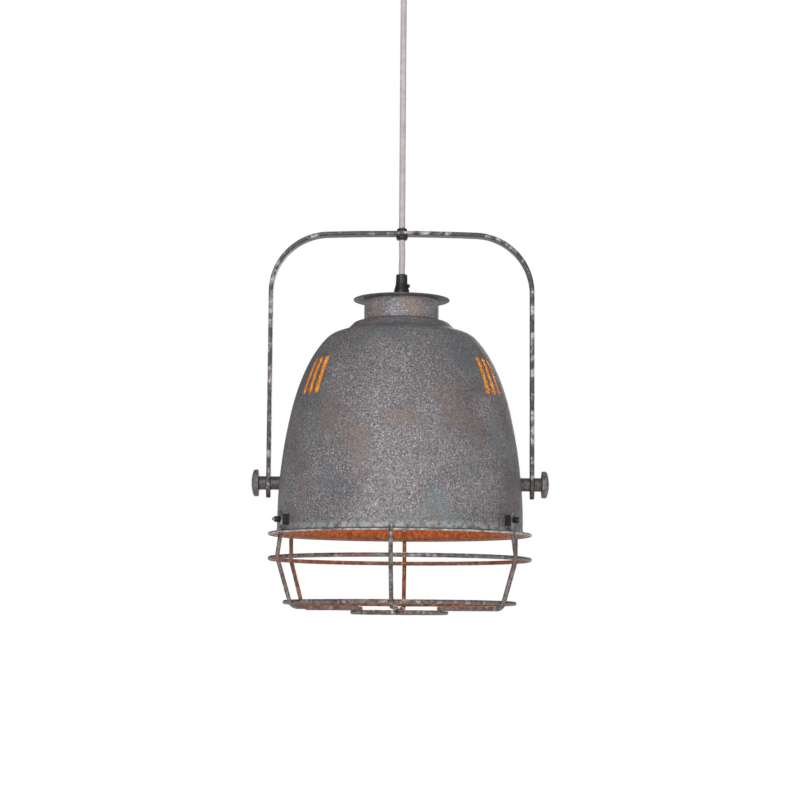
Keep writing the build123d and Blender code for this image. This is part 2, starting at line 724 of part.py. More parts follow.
with BuildPart() as canopy_screws:
    for sign in (-1, 1):
        screw_plane = Plane(origin=(0, 0, EAR_SCREW_Z), x_dir=(0, 1, 0), z_dir=(sign, 0, 0))
        with BuildSketch(screw_plane.offset(EAR_X - BRACKET_SHEET - 2.0)):
            Circle(1.95)
        extrude(amount=CANOPY_R - EAR_X + BRACKET_SHEET + 2.5)
        with BuildSketch(screw_plane.offset(CANOPY_R + 0.05)):
            Circle(4.0)
        extrude(amount=3.0)
    fillet(canopy_screws.edges().filter_by(GeomType.CIRCLE).group_by(SortBy.RADIUS)[-1], radius=0.8)
save(canopy_screws, "canopy_screws")

TAIL_FOOT = SWING_Z + CORD_R + 0.5
TAIL_TOP = -30.0
with BuildPart() as canopy_gland:
    with BuildSketch(Plane.XZ):
        with BuildLine():
            Polyline(
                (CORD_R + CORD_PLAY, -34.0),
                (6.0, -34.0),
                (6.0, -CANOPY_DEPTH),
                (11.0, -CANOPY_DEPTH),
                (11.0, -CANOPY_DEPTH - 3.0),
                (9.8, -CANOPY_DEPTH - 5.0),
                (9.0, GLAND_TIP),
                (CORD_R + CORD_PLAY, GLAND_TIP),
                close=True,
            )
        make_face()
    revolve(axis=Axis.Z)
    # round seat for the bush, and a flared mouth that leaves room for the swing
    with Locations((0, 0, SWING_Z)):
        Sphere(SWING_BALL_R + CORD_PLAY, mode=Mode.SUBTRACT)
    with Locations((0, 0, (SWING_Z + GLAND_TIP) / 2)):
        Cone(7.0, 5.2, SWING_Z - GLAND_TIP, mode=Mode.SUBTRACT)
save(canopy_gland, "canopy_gland")

with BuildPart() as canopy_gland_nut:
    with BuildSketch(Plane.XY.offset(SHEET - CANOPY_DEPTH)):
        RegularPolygon(8.5, 6, major_radius=False)
        Circle(6.0, mode=Mode.SUBTRACT)
    extrude(amount=4.0)
save(canopy_gland_nut, "canopy_gland_nut")

with BuildPart() as cord_bush:
    with Locations((0, 0, SWING_Z)):
        Sphere(SWING_BALL_R)
        Box(20.0, 20.0, 2 * BUSH_HALF_HEIGHT, mode=Mode.INTERSECT)
        Cylinder(BUSH_BORE_R, 20.0, mode=Mode.SUBTRACT)
save(cord_bush, "cord_bush")

with BuildPart() as cord_tail:
    with BuildSketch(Plane.XY.offset(TAIL_FOOT)):
        Circle(CORD_R)
    extrude(amount=TAIL_TOP - TAIL_FOOT)
save(cord_tail, "cord_tail")

BLOCK_TOP = -BRACKET_SHEET
BLOCK_HEIGHT = 13.0
BLOCK_STEP = 9.0
with BuildPart() as terminal_block:
    with Locations((0, 0, BLOCK_TOP - BLOCK_HEIGHT / 2)):
        Box(28.0, 16.0, BLOCK_HEIGHT)
    fillet(terminal_block.edges().filter_by(Axis.Z), radius=1.5)
    for column in (-1, 0, 1):
        with Locations((column * BLOCK_STEP, 0, BLOCK_TOP - BLOCK_HEIGHT)):
            with Locations(Rotation(180, 0, 0)):
                Hole(2.2, depth=9.0)
        for row in (-1, 1):
            with Locations((column * BLOCK_STEP, row * 8.0, BLOCK_TOP - 6.0)):
                Cylinder(1.8, 5.0, rotation=(90, 0, 0), mode=Mode.SUBTRACT)
save(terminal_block, "terminal_block")

with BuildPart() as terminal_screws:
    for column in (-1, 0, 1):
        for row in (-1, 1):
            with Locations((column * BLOCK_STEP, row * 6.75, BLOCK_TOP - 6.0)):
                Cylinder(1.7, 2.0, rotation=(90, 0, 0))
save(terminal_screws, "terminal_screws")

for name, column in {"canopy_live_wire": -1, "canopy_earth_wire": 0, "canopy_neutral_wire": 1}.items():
    start_x = column * 1.9
    end_x = column * BLOCK_STEP
    start_y = 1.0 if column == 0 else -0.9
    with BuildPart() as canopy_wire:
        with BuildLine() as canopy_path:
            if column == 0:
                Line((start_x, start_y, TAIL_TOP), (end_x, start_y, BLOCK_TOP - BLOCK_HEIGHT + 4.0))
            else:
                FilletPolyline(
                    (start_x, start_y, TAIL_TOP),
                    (start_x, start_y, TAIL_TOP + 3.0),
                    (end_x, 0, BLOCK_TOP - BLOCK_HEIGHT - 4.0),
                    (end_x, 0, BLOCK_TOP - BLOCK_HEIGHT + 4.0),
                    radius=1.8,
                )
        with BuildSketch(Plane(origin=canopy_path.line @ 0, z_dir=canopy_path.line % 0)):
            Circle(0.95)
        sweep(path=canopy_path.line)
    save(canopy_wire, name)
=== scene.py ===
"""Looks of the pendant ceiling light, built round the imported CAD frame. Units are metres."""

import json
from math import ceil, cos, radians, sin, sqrt, tan, tau

import bmesh
import bpy
from mathutils import Matrix, Vector, noise


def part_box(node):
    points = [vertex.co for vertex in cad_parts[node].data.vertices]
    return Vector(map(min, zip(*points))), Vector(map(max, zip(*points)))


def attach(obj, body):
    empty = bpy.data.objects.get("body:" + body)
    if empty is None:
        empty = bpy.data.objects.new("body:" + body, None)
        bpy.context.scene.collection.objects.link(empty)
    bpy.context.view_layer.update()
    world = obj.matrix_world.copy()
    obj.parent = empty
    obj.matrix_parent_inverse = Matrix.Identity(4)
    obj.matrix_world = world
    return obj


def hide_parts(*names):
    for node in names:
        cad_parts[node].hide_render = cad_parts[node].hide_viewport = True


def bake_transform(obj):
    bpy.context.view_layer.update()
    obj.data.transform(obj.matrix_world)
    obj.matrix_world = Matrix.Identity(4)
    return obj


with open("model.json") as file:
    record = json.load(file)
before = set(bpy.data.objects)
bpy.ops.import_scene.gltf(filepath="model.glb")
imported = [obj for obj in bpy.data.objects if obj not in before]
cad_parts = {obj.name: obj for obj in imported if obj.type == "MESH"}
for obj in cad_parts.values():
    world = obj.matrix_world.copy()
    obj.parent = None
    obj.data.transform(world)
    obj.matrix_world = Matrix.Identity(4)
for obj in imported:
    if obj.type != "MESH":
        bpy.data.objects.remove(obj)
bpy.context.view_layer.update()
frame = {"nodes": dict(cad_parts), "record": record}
RECORD = frame["record"]

# ---------------------------------------------------------------- places taken from the frame
MM = 0.001
CAGE_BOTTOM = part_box("cage_inner_ring")[0][2]
RIM_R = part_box("shade_shell")[1][0]
RIM_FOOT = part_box("shade_shell")[0][2]
PIVOT_Z = (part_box("knob_left")[0][2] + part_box("knob_left")[1][2]) / 2
BAIL_LOW, BAIL_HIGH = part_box("bail")
CORD_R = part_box("cord_upper")[1][0]
GRIP_TOP_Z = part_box("cord_lower")[0][2]
GROMMET_FOOT_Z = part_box("grommet_ring")[0][2]


def up(height):
    """Z of a height in millimetres above the lowest point of the cage."""
    return CAGE_BOTTOM + height * MM


# ---------------------------------------------------------------- camera
LENS = 94.5
CAMERA_DISTANCE = 2.236
CAMERA_BELOW_CAGE = 0.018
CAMERA_PITCH = 6.3
CAMERA_ROLL = 0.42

camera_data = bpy.data.cameras.new("camera")
camera_data.lens = LENS
camera = bpy.data.objects.new("camera", camera_data)
bpy.context.collection.objects.link(camera)
camera.location = (-0.0009, -CAMERA_DISTANCE, CAGE_BOTTOM - CAMERA_BELOW_CAGE)
look = Matrix.Rotation(radians(90.0 + CAMERA_PITCH), 4, "X") @ Matrix.Rotation(radians(CAMERA_ROLL), 4, "Z")
camera.rotation_euler = look.to_euler()
bpy.context.scene.camera = camera
bpy.context.scene.view_settings.view_transform = "Standard"


# ---------------------------------------------------------------- mesh helpers
SHARP_ANGLE = radians(38.0)


def piece(name, mesh, body, slot_name, replaced=()):
    """Put a finished mesh in the scene, riding on its body."""
    made = bpy.data.objects.new(name, mesh)
    bpy.context.collection.objects.link(made)
    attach(made, body)
    if replaced:
        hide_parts(*replaced)
    mesh.materials.append(MATERIALS[slot_name])
    return made


def mesh_from(name, vertices, faces):
    """Smooth mesh with sharp edges where two faces meet steeply."""
    mesh = bpy.data.meshes.new(name)
    mesh.from_pydata(vertices, [], faces)
    mesh.validate()
    outward = bmesh.new()
    outward.from_mesh(mesh)
    bmesh.ops.recalc_face_normals(outward, faces=outward.faces)
    outward.to_mesh(mesh)
    outward.free()
    mesh.shade_smooth()
    mesh.set_sharp_from_angle(angle=SHARP_ANGLE)
    return mesh


def bent_path(corners, bends, step=2.0 * MM):
    """Evenly spaced points along straight runs joined by arcs of these radii."""
    corners = [Vector(corner) for corner in corners]
    path = [corners[0]]
    for before, corner, after, radius in zip(corners, corners[1:], corners[2:], bends):
        into = (corner - before).normalized()
        out = (after - corner).normalized()
        turn = into.angle(out)
        start = corner - into * (radius * tan(turn / 2))
        centre = corner + (out - into).normalized() * (radius / cos(turn / 2))
        append_run(path, start, step)
        count = max(4, ceil(turn * radius / step))
        for index in range(1, count + 1):
            angle = turn * index / count
            path.append(centre + (start - centre) * cos(angle) + into * (radius * sin(angle)))
    append_run(path, corners[-1], step)
    return path


def append_run(path, end, step):
    """Add evenly spaced points from the path's last point to this one."""
    start = path[-1].copy()
    count = max(1, round((end - start).length / step))
    for index in range(1, count + 1):
        path.append(start.lerp(end, index / count))


def sweep(name, path, normal, outline_at, closed=False):
    """Sweep an outline along a flat path; outline_at gives its (sideways, outward) points at each station."""
    vertices = []
    count = len(path)
    for index, centre in enumerate(path):
        before = path[index - 1] if closed or index else path[0]
        after = path[(index + 1) % count] if closed or index < count - 1 else path[-1]
        outward = (after - before).normalized().cross(normal)
        vertices += [centre + normal * a + outward * b for a, b in outline_at(index)]
    size = len(vertices) // count
    spans = count if closed else count - 1
    faces = []
    for index in range(spans):
        low = index * size
        high = (index + 1) % count * size
        for side in range(size):
            next_side = (side + 1) % size
            faces.append((low + side, low + next_side, high + next_side, high + side))
    if not closed:
        faces.append(tuple(reversed(range(size))))
        faces.append(tuple(range((count - 1) * size, count * size)))
    return mesh_from(name, vertices, faces)


def circle(radius, sides):
    """Round outline."""
    return [(radius * cos(tau * side / sides), radius * sin(tau * side / sides)) for side in range(sides)]


def oval(half_width, half_thickness, squareness=2.0, sides=20):
    """Superellipse outline: squareness 2 is round, and more is nearer to a rectangle."""
    points = []
    for index in range(sides):
        angle = tau * index / sides
        x, y = cos(angle), sin(angle)
        points.append((
            half_width * abs(x) ** (2 / squareness) * (1 if x > 0 else -1),
            half_thickness * abs(y) ** (2 / squareness) * (1 if y > 0 else -1),
        ))
    return points


def distances(path):
    """Distance of each point of a path from its start."""
    lengths = [0.0]
    for start, end in zip(path, path[1:]):
        lengths.append(lengths[-1] + (end - start).length)
    return lengths


def rounded_end(distance, radius):
    """How much of its width a rounded end keeps at this distance from its tip."""
    if distance >= radius:
        return 1.0
    return sqrt(max(0.0, radius ** 2 - (radius - distance) ** 2)) / radius


def carve(target, cutter_mesh):
    """Cut this closed mesh out of the target, and keep the result."""
    cutter = bpy.data.objects.new("cutter", cutter_mesh)
    bpy.context.collection.objects.link(cutter)
    cut = target.modifiers.new("cut", "BOOLEAN")
    cut.operation = "DIFFERENCE"
    cut.solver = "EXACT"
    cut.object = cutter
    graph = bpy.context.evaluated_depsgraph_get()
    carved = bpy.data.meshes.new_from_object(target.evaluated_get(graph))
    target.modifiers.clear()
    target.data = carved
    carved.set_sharp_from_angle(angle=SHARP_ANGLE)
    bpy.data.objects.remove(cutter)


def prism(start, end, outline, sideways):
    """Vertices and faces of a straight prism from start to end."""
    along = (end - start).normalized()
    across = along.cross(sideways).normalized()
    count = len(outline)
    vertices = [centre + sideways * a + across * b for centre in (start, end) for a, b in outline]
    faces = [(i, (i + 1) % count, count + (i + 1) % count, count + i) for i in range(count)]
    return vertices, faces + [tuple(reversed(range(count))), tuple(range(count, 2 * count))]


def joined(name, parts):
    """One mesh from several lists of vertices and faces."""
    vertices = []
    faces = []
    for part_vertices, part_faces in parts:
        base = len(vertices)
        vertices += part_vertices
        faces += [tuple(base + corner for corner in face) for face in part_faces]
    return mesh_from(name, vertices, faces)


def outward_at(angle):
    """Unit vector away from the lamp's axis, at this angle in degrees from the front."""
    return Vector((sin(radians(angle)), -cos(radians(angle)), 0.0))


def unevenness(point, scale, amount, seed=0.0):
    """Slow random offset of a surface, the same at every run."""
    return noise.noise(Vector((point[0], point[1], point[2] + seed)) * scale) * amount


# ---------------------------------------------------------------- material helpers
class Nodes:
    """Short names for building one node tree."""

    def __init__(self, tree):
        self.tree = tree
        tree.nodes.clear()

    def new(self, kind, **settings):
        node = self.tree.nodes.new(kind)
        for key, value in settings.items():
            setattr(node, key, value)
        return node

    def link(self, source, target):
        self.tree.links.new(source, target)

    def coords(self):
        return self.new("ShaderNodeTexCoord").outputs["Object"]

    def noise(self, vector, scale, detail=4.0, roughness=0.55, distortion=0.0):
        node = self.new("ShaderNodeTexNoise")
        node.inputs["Scale"].default_value = scale
        node.inputs["Detail"].default_value = detail
        node.inputs["Roughness"].default_value = roughness
        node.inputs["Distortion"].default_value = distortion
        self.link(vector, node.inputs["Vector"])
        return node.outputs["Fac"]

    def stretched(self, vector, x, y, z):
        node = self.new("ShaderNodeVectorMath", operation="MULTIPLY")
        node.inputs[1].default_value = (x, y, z)
        self.link(vector, node.inputs[0])
        return node.outputs[0]

    def ramp(self, value, stops):
        node = self.new("ShaderNodeValToRGB")
        elements = node.color_ramp.elements
        while len(elements) < len(stops):
            elements.new(0.5)
        for element, (place, colour) in zip(elements, stops):
            element.position = place
            element.color = (*colour, 1.0)
        self.link(value, node.inputs["Fac"])
        return node.outputs["Color"]

    def spread(self, value, low, high, to_low=0.0, to_high=1.0):
        node = self.new("ShaderNodeMapRange")
        node.inputs["From Min"].default_value = low
        node.inputs["From Max"].default_value = high
        node.inputs["To Min"].default_value = to_low
        node.inputs["To Max"].default_value = to_high
        self.link(value, node.inputs["Value"])
        return node.outputs["Result"]

    def maths(self, operation, a, b=None):
        node = self.new("ShaderNodeMath", operation=operation)
        for socket, value in zip(node.inputs, (a, b)):
            if value is None:
                continue
            if isinstance(value, (int, float)):
                socket.default_value = value
            else:
                self.link(value, socket)
        return node.outputs["Value"]

    def creases(self, vector, scale, width, distortion=1.2):
        """Thin winding lines: 0 on a line and 1 away from it."""
        wave = self.noise(vector, scale, 2.0, 0.5, distortion)
        off_line = self.maths("ABSOLUTE", self.maths("SUBTRACT", wave, 0.5))
        return self.spread(off_line, 0.0, width)

    def mix(self, factor, a, b, blend="MIX"):
        node = self.new("ShaderNodeMix", data_type="RGBA", blend_type=blend)
        for socket, value in ((node.inputs[0], factor), (node.inputs[6], a), (node.inputs[7], b)):
            if isinstance(value, (int, float)):
                socket.default_value = value
            elif isinstance(value, tuple):
                socket.default_value = (*value, 1.0)
            else:
                self.link(value, socket)
        return node.outputs[2]

    def xyz(self, vector):
        node = self.new("ShaderNodeSeparateXYZ")
        self.link(vector, node.inputs[0])
        return node.outputs

    def inward(self):
        """How far a surface faces away from the lamp's axis: 1 outward, -1 inward."""
        where = self.new("ShaderNodeTexCoord")
        flat = self.stretched(where.outputs["Object"], 1.0, 1.0, 0.0)
        unit = self.new("ShaderNodeVectorMath", operation="NORMALIZE")
        self.link(flat, unit.inputs[0])
        dot = self.new("ShaderNodeVectorMath", operation="DOT_PRODUCT")
        self.link(unit.outputs[0], dot.inputs[0])
        self.link(where.outputs["Normal"], dot.inputs[1])
        return dot.outputs["Value"]

    def bump(self, height, strength, distance, under=None):
        node = self.new("ShaderNodeBump")
        node.inputs["Strength"].default_value = strength
        node.inputs["Distance"].default_value = distance
        self.link(height, node.inputs["Height"])
        if under is not None:
            self.link(under, node.inputs["Normal"])
        return node.outputs["Normal"]

    def surface(self, colour, roughness, normal=None, metallic=0.0):
        shader = self.new("ShaderNodeBsdfPrincipled")
        shader.inputs["Metallic"].default_value = metallic
        for name, value in (("Base Color", colour), ("Roughness", roughness), ("Normal", normal)):
            if value is None:
                continue
            if isinstance(value, (int, float)):
                shader.inputs[name].default_value = value
            else:
                self.link(value, shader.inputs[name])
        output = self.new("ShaderNodeOutputMaterial")
        self.link(shader.outputs[0], output.inputs["Surface"])
        return shader


def material(name, build):
    made = bpy.data.materials.new(name)
    made.use_nodes = True
    build(Nodes(made.node_tree))
    return made


def srgb(red, green, blue):
    """Linear colour from display values of 0 to 255."""
    def linear(value):
        value /= 255.0
        return value / 12.92 if value <= 0.04045 else ((value + 0.055) / 1.055) ** 2.4
    return (linear(red), linear(green), linear(blue))


# ---------------------------------------------------------------- materials
# Height where the painted shade above the neck begins, and heights over which the painted bulb glow inside the
# shade turns amber.
CAP_FOOT = 336.0
GLOW_NEAR_BULB_FROM = 120.0
GLOW_NEAR_BULB_FULL = 215.0


def aged_zinc(n, painted_glow_inside=True):
    """Wrinkled grey skin with bluish and brownish clouds.

    On the shade it has a pale worn band at the rim, a dark line of painted shade on the hem, and inside a
    copper brown that is painted warm bulb light, more amber higher up as painted glow nearer the bulb.
    Otherwise the neck is painted lighter and what is above the neck painted darker, as painted light and shade.
    """
    where = n.coords()
    speckle = n.noise(where, 620.0, 3.0, 0.65, 0.4)
    lines = n.creases(where, 330.0, 0.09)
    clouds = n.noise(where, 24.0, 4.0, 0.55, 0.5)
    hue = n.noise(n.stretched(where, 1.0, 1.0, 0.7), 15.0, 3.0, 0.5, 0.8)
    warm_hue = n.noise(n.stretched(where, 1.0, 1.0, 0.8), 19.0, 3.0, 0.5, 0.6)
    grey = n.ramp(speckle, [
        (0.30, srgb(74, 70, 73)),
        (0.44, srgb(116, 112, 115)),
        (0.56, srgb(154, 150, 153)),
        (0.70, srgb(208, 204, 206)),
    ])
    grey = n.mix(n.spread(lines, 0.0, 1.0, 0.7, 0.0), grey, srgb(76, 72, 76))
    tone = n.ramp(clouds, [(0.30, (0.76, 0.76, 0.77)), (0.50, (1.0, 1.0, 1.0)), (0.70, (1.16, 1.15, 1.15))])
    grey = n.mix(1.0, grey, tone, "MULTIPLY")
    grey = n.mix(n.spread(hue, 0.50, 0.66, 0.0, 0.50), grey, srgb(112, 126, 127))
    grey = n.mix(n.spread(warm_hue, 0.50, 0.66, 0.0, 0.50), grey, srgb(128, 110, 100))
    streaks = n.noise(n.stretched(where, 1.0, 1.0, 0.06), 260.0, 3.0, 0.6)
    grey = n.mix(n.spread(streaks, 0.55, 0.75, 0.0, 0.18), grey, srgb(168, 164, 166))
    colour = grey
    if painted_glow_inside:
        height = n.xyz(where)[2]
        band = n.spread(height, RIM_FOOT + 0.0115, RIM_FOOT + 0.0045)
        worn = n.spread(n.noise(where, 130.0, 3.0, 0.7), 0.40, 0.58)
        pale = n.mix(n.noise(where, 60.0, 2.0, 0.5), srgb(214, 214, 211), srgb(166, 180, 178))
        colour = n.mix(n.maths("MULTIPLY", band, worn), colour, pale)
        # Painted shade: a dark line on the hem, just above the rim's foot.
        painted_rim_shade = n.maths("MULTIPLY", n.spread(height, RIM_FOOT + 0.0036, RIM_FOOT + 0.0030),
                      n.spread(height, RIM_FOOT + 0.0016, RIM_FOOT + 0.0022))
        colour = n.mix(n.maths("MULTIPLY", painted_rim_shade, 0.85), colour, srgb(52, 48, 50))
        # Painted warm bulb light: a mottled copper brown on the inward faces of the shade.
        painted_bulb_glow = n.ramp(n.noise(where, 250.0, 4.0, 0.7, 0.5), [
            (0.26, srgb(84, 46, 30)),
            (0.46, srgb(140, 80, 48)),
            (0.62, srgb(176, 106, 62)),
            (0.80, srgb(206, 146, 96)),
        ])
        # Painted glow nearer the bulb: the painted light turns more amber higher up inside the shade.
        painted_glow_near_bulb = n.mix(1.0, painted_bulb_glow, (0.95, 1.7, 0.42), "MULTIPLY")
        painted_bulb_glow = n.mix(n.spread(height, up(GLOW_NEAR_BULB_FROM), up(GLOW_NEAR_BULB_FULL)), painted_bulb_glow, painted_glow_near_bulb)
        colour = n.mix(n.spread(n.inward(), -0.02, -0.12), colour, painted_bulb_glow)
    else:
        # Painted light and shade: the neck is painted lighter, and everything above its top painted darker.
        painted_neck_light_cap_shade = n.spread(n.xyz(where)[2], up(CAP_FOOT - 1.0), up(CAP_FOOT), 1.25, 0.58)
        colour = n.mix(1.0, colour, painted_neck_light_cap_shade, "MULTIPLY")
    dents = n.noise(where, 60.0, 2.0, 0.5)
    normal = n.bump(dents, 0.3, 0.0010)
    normal = n.bump(speckle, 0.6, 0.0006, normal)
    normal = n.bump(lines, 0.35, 0.0003, normal)
    n.surface(colour, n.spread(clouds, 0.3, 0.7, 0.44, 0.60), normal, metallic=0.25)


def cage_coat(n):
    """Worn grey rod, pinkish and rusty in places, with painted warm bulb light in copper brown on the side that
    faces the bulb.
    """
    where = n.coords()
    wear = n.noise(where, 210.0, 4.0, 0.65, 0.4)
    outside = n.ramp(wear, [
        (0.30, srgb(42, 36, 36)),
        (0.45, srgb(84, 76, 77)),
        (0.58, srgb(136, 127, 128)),
        (0.72, srgb(212, 205, 202)),
    ])
    teal = n.spread(n.noise(where, 30.0, 2.0, 0.5), 0.50, 0.62, 0.0, 0.55)
    outside = n.mix(teal, outside, srgb(104, 118, 120))
    rust = n.spread(n.noise(where, 46.0, 3.0, 0.6), 0.54, 0.64, 0.0, 0.6)
    outside = n.mix(rust, outside, srgb(128, 88, 72))
    # Painted warm bulb light: copper brown on the rod faces turned towards the bulb.
    inside = n.ramp(n.noise(where, 170.0, 3.0, 0.65), [
        (0.28, srgb(74, 46, 38)),
        (0.50, srgb(122, 82, 64)),
        (0.74, srgb(168, 126, 106)),
    ])
    colour = n.mix(n.spread(n.inward(), 0.15, -0.40), outside, inside)
    normal = n.bump(n.noise(where, 300.0, 3.0, 0.65), 0.55, 0.0006)
    n.surface(colour, n.spread(wear, 0.3, 0.7, 0.40, 0.60), normal, metallic=0.25)


def dark_strap(n):
    """Dark grey brown strap, rubbed at its edges."""
    where = n.coords()
    grain = n.noise(where, 240.0, 4.0, 0.65, 0.3)
    colour = n.ramp(grain, [
        (0.28, srgb(40, 35, 38)),
        (0.50, srgb(66, 59, 62)),
        (0.72, srgb(102, 93, 96)),
    ])
    across = n.maths("ABSOLUTE", n.xyz(where)[1])
    edge = n.spread(across, BAIL_HIGH[1] - 0.0022, BAIL_HIGH[1] - 0.0004)
    rubbed = n.spread(n.noise(where, 85.0, 4.0, 0.7), 0.50, 0.62)
    colour = n.mix(n.maths("MULTIPLY", edge, rubbed), colour, srgb(174, 166, 164))
    spots = n.spread(n.noise(where, 120.0, 3.0, 0.6), 0.60, 0.68, 0.0, 0.6)
    colour = n.mix(spots, colour, srgb(150, 142, 142))
    normal = n.bump(grain, 0.45, 0.0005)
    n.surface(colour, n.spread(grain, 0.3, 0.7, 0.36, 0.56), normal, metallic=0.3)


def turned_steel(n, tone=1.0):
    """Aged turned steel of the knobs, studs and spacers."""
    where = n.coords()
    grain = n.noise(where, 300.0, 4.0, 0.65, 0.3)
    colour = n.ramp(grain, [
        (0.28, tuple(tone * c for c in srgb(68, 64, 63))),
        (0.50, tuple(tone * c for c in srgb(108, 102, 101))),
        (0.74, tuple(tone * c for c in srgb(154, 147, 144))),
    ])
    warm = n.spread(n.noise(where, 90.0, 2.0, 0.5), 0.52, 0.66, 0.0, 0.5)
    colour = n.mix(warm, colour, tuple(tone * c for c in srgb(122, 104, 90)))
    normal = n.bump(n.noise(where, 420.0, 3.0, 0.6), 0.35, 0.0004)
    n.surface(colour, n.spread(grain, 0.3, 0.7, 0.36, 0.56), normal, metallic=0.3)


def plain_metal(n, dark, light, scale=300.0):
    """Plated or spun metal with fine streaks of tarnish."""
    grain = n.noise(n.coords(), scale, 4.0, 0.6)
    colour = n.ramp(grain, [(0.30, dark), (0.70, light)])
    n.surface(colour, n.spread(grain, 0.3, 0.7, 0.25, 0.40), n.bump(grain, 0.15, 0.0002), metallic=0.9)


def moulded(n, dark, light, roughness=(0.38, 0.5), bump=0.12, scale=700.0):
    """Moulded plastic, rubber or glazed ceramic: nearly even colour with a fine skin."""
    where = n.coords()
    tone = n.noise(where, scale * 0.12, 3.0, 0.55)
    skin = n.noise(where, scale, 2.0, 0.5)
    colour = n.ramp(tone, [(0.30, dark), (0.70, light)])
    n.surface(colour, n.spread(tone, 0.3, 0.7, *roughness), n.bump(skin, bump, 0.0002))


def two_colour_wire(n):
    """Green earth wire with yellow stripes winding along it."""
    where = n.coords()
    along = n.xyz(where)
    phase = n.maths("ADD", n.maths("MULTIPLY", along[2], 900.0), n.maths("MULTIPLY", along[0], 700.0))
    stripe = n.spread(n.maths("SINE", phase), -0.1, 0.1)
    colour = n.mix(stripe, srgb(60, 124, 48), srgb(212, 200, 64))
    n.surface(colour, n.spread(n.noise(where, 90.0), 0.3, 0.7, 0.38, 0.5))


def lit_glass(n):
    """Frosted bulb glass glowing warm."""
    where = n.coords()
    frost = n.noise(where, 200.0, 2.0, 0.5)
    colour = n.ramp(frost, [(0.30, (1.0, 0.80, 0.56)), (0.70, (1.0, 0.86, 0.66))])
    shader = n.surface(colour, 0.45, n.bump(frost, 0.1, 0.0002))
    shader.inputs["Emission Color"].default_value = (1.0, 0.55, 0.22, 1.0)
    shader.inputs["Emission Strength"].default_value = 26.0


MATERIALS = {
    "shade_steel": material("shade_steel", aged_zinc),
    "neck_steel": material("neck_steel", lambda n: aged_zinc(n, False)),
    "canopy_steel": material("canopy_steel", lambda n: aged_zinc(n, False)),
    "cage_steel": material("cage_steel", cage_coat),
    "bail_steel": material("bail_steel", dark_strap),
    "pivot_steel": material("pivot_steel", lambda n: turned_steel(n, 0.7)),
    "knob_steel": material("knob_steel", turned_steel),
    "zinc_steel": material("zinc_steel", lambda n: plain_metal(n, srgb(150, 148, 145), srgb(206, 204, 200))),
    "brass": material("brass", lambda n: plain_metal(n, srgb(150, 112, 52), srgb(206, 168, 92))),
    "bulb_metal": material("bulb_metal", lambda n: plain_metal(n, srgb(168, 164, 156), srgb(220, 216, 208))),
    "black_plastic": material("black_plastic", lambda n: moulded(n, srgb(24, 24, 30), srgb(40, 40, 48))),
    "black_rubber": material(
        "black_rubber", lambda n: moulded(n, srgb(28, 28, 32), srgb(46, 46, 52), (0.5, 0.65))
    ),
    "black_fixing": material(
        "black_fixing", lambda n: moulded(n, srgb(14, 16, 18), srgb(32, 36, 38), (0.3, 0.45))
    ),
    "cord_jacket": material(
        "cord_jacket", lambda n: moulded(n, srgb(172, 164, 163), srgb(194, 186, 184), (0.42, 0.55), 0.1, 900.0)
    ),
    "white_nylon": material("white_nylon", lambda n: moulded(n, srgb(206, 203, 192), srgb(226, 224, 214))),
    "ceramic": material("ceramic", lambda n: moulded(n, srgb(214, 210, 198), srgb(236, 233, 224), (0.12, 0.2))),
    "brown_wire": material("brown_wire", lambda n: moulded(n, srgb(84, 48, 28), srgb(112, 66, 38))),
    "blue_wire": material("blue_wire", lambda n: moulded(n, srgb(28, 72, 140), srgb(44, 96, 172))),
    "earth_wire": material("earth_wire", two_colour_wire),
    "bulb_glass": material("bulb_glass", lit_glass),
    "bulb_stem": material(
        "bulb_stem", lambda n: moulded(n, srgb(206, 206, 200), srgb(232, 232, 226), (0.1, 0.2))
    ),
}

for part in RECORD["subparts"]:
    for place in frame["nodes"][part["node"]].material_slots:
        place.material = MATERIALS[part["material_slot"]]

# ---------------------------------------------------------------- cords
SWING_Z = -55.0 * MM
STRAP_TOP_Z = BAIL_HIGH[2]
CORD_SIDES = 32
# The hanging stretch is straight, and the short one leans and bows a little on its way to the grip.
UPPER_ROUTE = [(0.0, 0.0, SWING_Z + (STRAP_TOP_Z - SWING_Z) * step / 5) for step in range(6)]
LOWER_ROUTE = [
    (0.0, 0.0, STRAP_TOP_Z),
    (0.0, 0.0, GROMMET_FOOT_Z - 0.004),
    (0.0006, 0.0, (GROMMET_FOOT_Z + GRIP_TOP_Z) / 2),
    (0.0, 0.0, GRIP_TOP_Z + 0.008),
    (0.0, 0.0, GRIP_TOP_Z),
]


def route_points(name, points):
    """Points read from the route's own smooth spline."""
    curve = bpy.data.curves.new(name, "CURVE")
    curve.dimensions = "3D"
    spline = curve.splines.new("NURBS")
    spline.points.add(len(points) - 1)
    for point, place in zip(spline.points, points):
        point.co = (*place, 1.0)
    spline.order_u = 3
    spline.use_endpoint_u = True
    curve.resolution_u = 24
    line = bpy.data.objects.new(name, curve)
    bpy.context.collection.objects.link(line)
    graph = bpy.context.evaluated_depsgraph_get()
    traced = bpy.data.meshes.new_from_object(line.evaluated_get(graph))
    places = [vertex.co.copy() for vertex in traced.vertices]
    bpy.data.objects.remove(line)
    bpy.data.meshes.remove(traced)
    return places


def cord_mesh(name, places):
    """Round tube along these points."""
    ring = circle(CORD_R, CORD_SIDES)
    return sweep(name, places, Vector((0.0, 1.0, 0.0)), lambda index: ring)


upper_places = route_points("upper_route", UPPER_ROUTE)
upper_mesh = cord_mesh("hanging_cord", upper_places)
upper_cord = piece("hanging_cord", upper_mesh, "hanger", "cord_jacket", ["cord_upper"])

